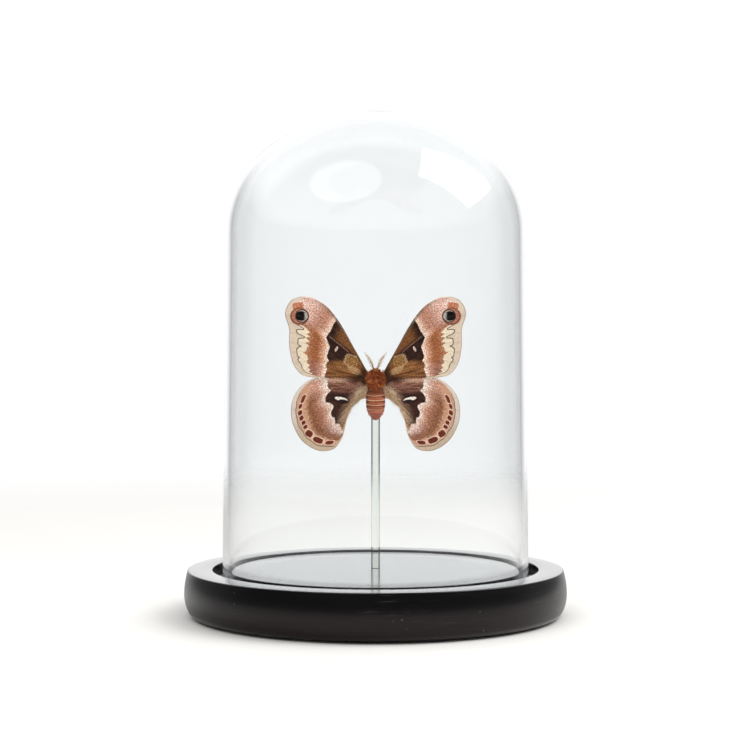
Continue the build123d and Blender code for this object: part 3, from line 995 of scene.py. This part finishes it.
# Each maroon spot: (span, chord, half height and half width in mm, slant).
SPOTS = [(0.842, 0.705, 0.9, 2.0, 8), (0.868, 0.648, 0.8, 1.15, 6), (0.874, 0.595, 1.0, 1.1, 0),
         (0.871, 0.548, 1.0, 1.0, -10), (0.866, 0.505, 0.95, 0.88, 16), (0.868, 0.466, 1.0, 0.8, 16),
         (0.878, 0.402, 1.3, 1.85, -8), (0.876, 0.307, 1.2, 2.4, -4), (0.874, 0.205, 0.95, 2.0, 4)]


def hindwing_colours():
    material, tree, shader = new_material("hindwing_scales")
    span, chord, out, up, vein, place = wing_sockets(tree)
    ragged_span = plus(span, scaled(grain(place, 1.2, 3.0, 0.65), 0.022, -0.011))
    jag = drawn(chord, JAG_LINE)
    peach = drawn(chord, PEACH_LINE)
    depth = maths("DIVIDE", minus(ragged_span, jag), minus(peach, jag))
    # the middle band, paler towards the front and the inner edge
    mottle = grain(place, 1.6, 3.0, 0.7)
    tone = shaded(depth, (255, 230, 216), (0.02, 0.32, (216, 162, 136)),
                  (0.25, 0.55, (174, 114, 86)), (0.5, 0.75, (148, 92, 60)),
                  (0.8, 1.05, (206, 150, 118)))
    front = shaded(depth, (255, 236, 222), (0.05, 0.6, (218, 162, 140)))
    low = shaded(depth, (246, 216, 204), (0.1, 0.8, (160, 104, 78)))
    tone = shaded(chord, tone, (0.62, 0.82, front), (0.38, 0.2, low), (0.86, 0.97, (255, 236, 220)))
    tone = shaded(mottle, tone, (0.52, 0.74, (238, 206, 190), 0.4),
                  (0.46, 0.26, (112, 60, 38), 0.36))
    # peach band, cream rims and maroon spots
    outside = fade(minus(ragged_span, peach), -0.006, 0.006)
    tone = paint(outside, tone, (222, 166, 134))
    tone = shaded(span, tone, (0.9, 0.93, (218, 184, 158)))
    span_mm = times(span, HINDWING_REACH)
    chord_mm = times(chord, HINDWING_EDGE)
    nearest = None
    for at_span, at_chord, half_span, half_chord, slant in SPOTS:
        centre = (at_span * HINDWING_REACH, at_chord * HINDWING_EDGE)
        spot = away(span_mm, chord_mm, centre, (half_span, half_chord), slant, 3.0)
        nearest = spot if nearest is None else maths("MINIMUM", nearest, spot)
    nearest = plus(nearest, scaled(grain(place, 1.6, 2.0), 0.3, -0.15))
    maroon = shaded(mottle, (100, 34, 26), (0.35, 0.65, (140, 60, 48)))
    tone = shaded(nearest, tone, (1.4, 1.2, (250, 214, 184)), (1.08, 0.94, maroon))
    # tan margin with its thin wavy line
    margin = shaded(chord, (220, 192, 166), (0.42, 0.62, (238, 220, 208)))
    tone = shaded(span, tone, (0.928, 0.945, margin))
    ink = line_mask(span, chord, HIND_WAVY, 0.0075, 0.002)
    ink = times(ink, times(fade(chord, 0.12, 0.16), fade(chord, 0.79, 0.75)))
    tone = paint(times(ink, 0.8), tone, (98, 72, 54))
    tone = shaded(span, tone, (0.984, 0.998, (136, 108, 84), 0.6))
    # dark base, mauve towards the front, hairy by the inner edge
    base = shaded(mottle, (50, 24, 17), (0.35, 0.7, (84, 50, 38)))
    streaks = grain(stretched(place, (0.25, 1.6, 1.0)), 1.0, 3.0)
    mauve = shaded(streaks, (98, 56, 42), (0.35, 0.7, (168, 118, 98)))
    # the strip below the forewing: pale hem outward, painted shadow of the forewing near the body
    hem_and_shadow = shaded(out, (68, 34, 18), (8.0, 15.5, (232, 184, 154)))
    base = shaded(up, base, (-4.9, -2.6, mauve), (-0.9, 1.0, hem_and_shadow, 0.85))
    fan = maths("ARCTAN2", plus(up, 1.5), minus(out, 1.0))
    fan = grain(wave_place(fan, out), 1.0, 2.0)
    hairy = shaded(fan, (166, 120, 86), (0.35, 0.65, (234, 200, 170)))
    base = shaded(times(chord, plus(span, 0.12)), base, (0.2, 0.04, hairy))
    # the pale crescent in its dark surround, and painted shade at the root, under the forewing and
    # beside the body
    crescent = away(out, up, (13.6, -6.75), (2.6, 0.75), 12, 2.2)
    bite = away(out, up, (12.9, -8.2), (2.5, 1.3), 8)
    surround = away(out, up, (13.8, -6.8), (3.6, 1.7), 12)
    base = shaded(surround, base, (1.2, 0.8, (44, 25, 22)))
    moon = times(fade(crescent, 1.12, 0.9), fade(bite, 0.92, 1.06))
    base = paint(moon, base, (254, 240, 228))
    by_body = away(out, up, (5.2, -5.6), (3.4, 3.0), 30)
    base = shaded(by_body, base, (1.15, 0.4, (232, 204, 172)))
    root_painted_shade = times(fade(out, 7.0, 4.2), fade(up, -2.6, 0.0))
    base = paint(times(root_painted_shade, 0.9), base, (32, 11, 3))
    tone = shaded(minus(jag, ragged_span), tone, (-0.006, 0.004, base))
    tone = paint(times(vein, 0.14), tone, (110, 72, 54))
    finish_wing(shader, tone, place, vein, outside)
    return material


forewing_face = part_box("moth_forewing_right")[0].y
hindwing_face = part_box("moth_hindwing_right")[0].y
forewing_paint = forewing_colours()
hindwing_paint = hindwing_colours()
forewing_edges = (FOREWING_COSTA, FOREWING_MARGIN, FOREWING_INNER)
hindwing_edges = (HINDWING_FRONT, HINDWING_MARGIN, HINDWING_INNER)
for side, word in ((-1, "left"), (1, "right")):
    forewing = wing("moth_forewing_scaled_" + word, side, forewing_edges, FOREWING_VEINS,
                    forewing_face, 110, 150, forewing_paint)
    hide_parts("moth_forewing_" + word)
    hindwing = wing("moth_hindwing_scaled_" + word, side, hindwing_edges, HINDWING_VEINS,
                    hindwing_face, 130, 120, hindwing_paint)
    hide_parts("moth_hindwing_" + word)

# ------------------------------------------------- antennae, eyes, wing hair
# The antennae are feathered: a bent shaft with two rows of fine barbs. Long
# tan hairs lie over the wing roots and along the inner edge of the hindwings.

LONGEST_BARB = 1.75 * MM
BARB_HAIR = 0.11 * MM
SHAFT = 0.36 * MM
INNER_EDGE_HAIR = 0.055 * MM
ROOT_HAIR = 0.06 * MM


def antenna_strands(side):
    """The shaft, then barbs to both sides that shorten to root and tip."""
    root = Vector((side * 0.75 * MM, HEAD.y - 0.9 * MM, HEAD.z + 0.8 * MM))
    reach = Vector((side * 4.0, -0.2, 6.95)) * MM
    bow = Vector((side * -0.5, -0.3, 0.2)) * MM
    shaft = [root + reach * (i / 10) + bow * math.sin(math.pi * i / 10) for i in range(11)]
    barbs = []
    across = Vector((reach.z, 0, -reach.x)).normalized()
    for i in range(46):
        part = 0.04 + 0.9 * i / 45
        k = min(int(part * 10), 9)
        start = shaft[k].lerp(shaft[k + 1], part * 10 - k)
        fullness = 0.25 + 0.75 * math.sin(math.pi * min(0.5, 0.12 + part))
        length = LONGEST_BARB * fullness * (1 - part ** 2.2)
        for hand in (-1, 1):
            heading = across * hand + reach.normalized() * 0.95 + Vector((0, -0.25, 0))
            wander = random_heading() * 0.08
            barbs.append(strand(start, heading + wander, length, reach.normalized() * 0.5))
    return shaft, barbs


def fan_of_hairs(side, count, start, end, heading, length, front, spread):
    """Hairs rooted between two places on the wing, all lying along it."""
    hairs = []
    for k in range(count):
        part = draw.random()
        stray = Vector((draw.gauss(0, spread), draw.gauss(0, spread)))
        at = Vector(start).lerp(Vector(end), part) + stray
        root = Vector((side * at.x * MM, front - 0.12 * MM, THORAX.z + at.y * MM))
        way = Vector((side * (heading[0] + draw.gauss(0, 0.16)), -0.03 + draw.gauss(0, 0.03),
                      heading[1] + draw.gauss(0, 0.16)))
        hairs.append(strand(root, way, length * MM * draw.uniform(0.6, 1.2), Vector((0, 0.05, -0.1))))
    return hairs


antenna_paint = fur_colour("antenna_feathering", (160, 126, 90), (222, 192, 154),
                           (246, 228, 202), 900)
shaft_paint = fur_colour("antenna_shaft", (84, 60, 42), (112, 84, 60), (140, 112, 84), 900)
tan_hair = fur_colour("tan_wing_hair", (172, 130, 92), (226, 192, 152), (248, 224, 192), 500)
brown_hair = fur_colour("brown_root_hair", (40, 18, 8), (84, 46, 20), (150, 100, 56), 1400)
for side, word in ((-1, "left"), (1, "right")):
    shaft, barbs = antenna_strands(side)
    bm = bmesh.new()
    with_strands(bm, barbs, BARB_HAIR)
    for face in bm.faces:
        face.material_index = 1
    with_strands(bm, [shaft], SHAFT)
    antenna = piece("moth_antenna_feathered_" + word, bm, "base", shaft_paint, 180)
    antenna.data.materials.append(antenna_paint)
    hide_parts("moth_antenna_" + word)
    tan_hairs = fan_of_hairs(side, 260, (4.2, -3.6), (7.4, -6.4), (0.62, -0.78), 5.0,
                             hindwing_face, 0.5)
    tan_hairs += fan_of_hairs(side, 120, (8.8, -8.0), (11.6, -13.0), (0.3, -0.95), 4.2,
                              hindwing_face, 0.35)
    bm = with_strands(bmesh.new(), tan_hairs, INNER_EDGE_HAIR)
    piece("moth_hindwing_hair_" + word, bm, "base", tan_hair, 180)
    root_hairs = fan_of_hairs(side, 230, (3.0, -0.2), (3.6, 4.2), (0.86, 0.14), 3.4,
                              forewing_face, 0.5)
    bm = with_strands(bmesh.new(), root_hairs, ROOT_HAIR)
    piece("moth_wing_root_hair_" + word, bm, "base", brown_hair, 180)

eye_material, eye_tree, eye_shader = new_material("compound_eye")
eye_place = object_place(eye_tree)
facets = node_by(eye_place, "ShaderNodeTexVoronoi", Vector=eye_place, Scale=9000)
facet_rise = facets.outputs["Distance"]
feed_all(eye_shader, Base_Color=paint(facet_rise, (26, 16, 12), (64, 42, 30)), Roughness=0.22)
raise_surface(eye_shader, facet_rise, 0.03 * MM)
for word in ("left", "right"):
    repaint("moth_eye_" + word, eye_material)

# ---------------------------------------------------------------------- legs
# Three pairs of thin jointed legs, folded back behind the body on both sides
# of the rod. They are dry brown shell under short hair.

leg_material = fur_colour("leg_shell", (58, 30, 16), (98, 56, 30), (142, 92, 56), 700)
for pair in ("front", "middle", "rear"):
    repaint("moth_legs_" + pair, leg_material)

# ------------------------------------------------------------ floor and light
# A pale floor that fades into a pale room, brightest behind the object and
# greyer to the sides, so that the edges of the glass are drawn. A large soft
# box stands high on the right and a small window high on the left.

FLOOR_FADES = (0.34, 1.1)
LIT_POINT = Vector((0, 0, 0.17))


def pale_floor():
    material, tree, shader = new_material("pale_floor")
    place = object_place(tree)
    cloud = grain(place, 6, 3.0)
    feed_all(shader, Base_Color=paint(cloud, (232, 230, 227), (238, 237, 234)), Roughness=0.85,
             Alpha=fade(length_of(place), FLOOR_FADES[1], FLOOR_FADES[0]))
    return material


floor_bm = bmesh.new()
bmesh.ops.create_circle(floor_bm, cap_ends=True, segments=96, radius=FLOOR_FADES[1])
floor_mesh = bpy.data.meshes.new("floor")
floor_bm.to_mesh(floor_mesh)
floor_bm.free()
floor = bpy.data.objects.new("floor", floor_mesh)
floor.data.materials.append(pale_floor())
bpy.context.scene.collection.objects.link(floor)


def pale_room():
    """A pale studio: grey at both sides, and a black flag that only gloss sees."""
    world = bpy.data.worlds.new("pale_room")
    world.use_nodes = True
    tree = world.node_tree
    x, y, z = apart(tree.nodes.new("ShaderNodeTexCoord").outputs["Generated"])
    low = fade(maths("ABSOLUTE", z), 0.6, 0.25)
    tone = shaded(y, (1.06, 1.06, 1.07, 1), (0.2, -0.5, (0.98, 0.97, 0.96, 1)))
    sides = times(fade(maths("ABSOLUTE", x), 0.3, 0.72), low)
    tone = paint(sides, tone, (0.2, 0.2, 0.21, 1))
    rays = tree.nodes.new("ShaderNodeLightPath")
    flag = times(fade(rays.outputs["Glossy Depth"], 0.4, 0.6), fade(y, 0.25, -0.1))
    tone = paint(flag, tone, (0.05, 0.05, 0.055, 1))
    feed(tree.nodes["Background"].inputs["Color"], tone)
    bpy.context.scene.world = world


def panel(name, shape, centre, across, size, power):
    """A soft light at centre, facing the object, its width lying along across."""
    lamp = bpy.data.lights.new(name, "AREA")
    lamp.shape = shape
    lamp.size, lamp.size_y = size
    lamp.energy = power
    made = bpy.data.objects.new(name, lamp)
    z = (Vector(centre) - LIT_POINT).normalized()
    y = z.cross(Vector(across)).normalized()
    x = y.cross(z)
    made.matrix_world = Matrix.Translation(centre) @ Matrix((x, y, z)).transposed().to_4x4()
    bpy.context.scene.collection.objects.link(made)


pale_room()
panel("soft_box", "RECTANGLE", (0.738, -0.084, 0.858), (0.66, 0.32, -0.68), (0.82, 0.68), 7)
panel("window", "ELLIPSE", (-0.338, -0.629, 0.871), (-0.83, 0.55, 0.07), (0.9, 0.86), 2.1)

# -------------------------------------------------------------------- camera
# A level camera straight in front, a little above the middle of the object, with
# a long lens. Its shift, not a tilt, puts the object in the middle of the frame.

CAMERA_DISTANCE = 651.2 * MM
CAMERA_RISE = 80.4 * MM
camera_data = bpy.data.cameras.new("front_camera")
camera_data.lens = 78.3
camera_data.sensor_width = 36
camera_data.shift_y = -0.0121
camera_data.shift_x = -0.0007
camera_data.clip_start = 0.01
camera = bpy.data.objects.new("front_camera", camera_data)
camera.location = (0, -CAMERA_DISTANCE, BOARD_TOP + CAMERA_RISE)
camera.rotation_euler = Euler((math.pi / 2, 0, 0))
bpy.context.scene.collection.objects.link(camera)
bpy.context.scene.camera = camera

scene = bpy.context.scene
scene.view_settings.view_transform = "Standard"
scene.cycles.use_denoising = True
scene.cycles.max_bounces = 24
scene.cycles.transmission_bounces = 20
scene.cycles.transparent_max_bounces = 16
scene.cycles.glossy_bounces = 8
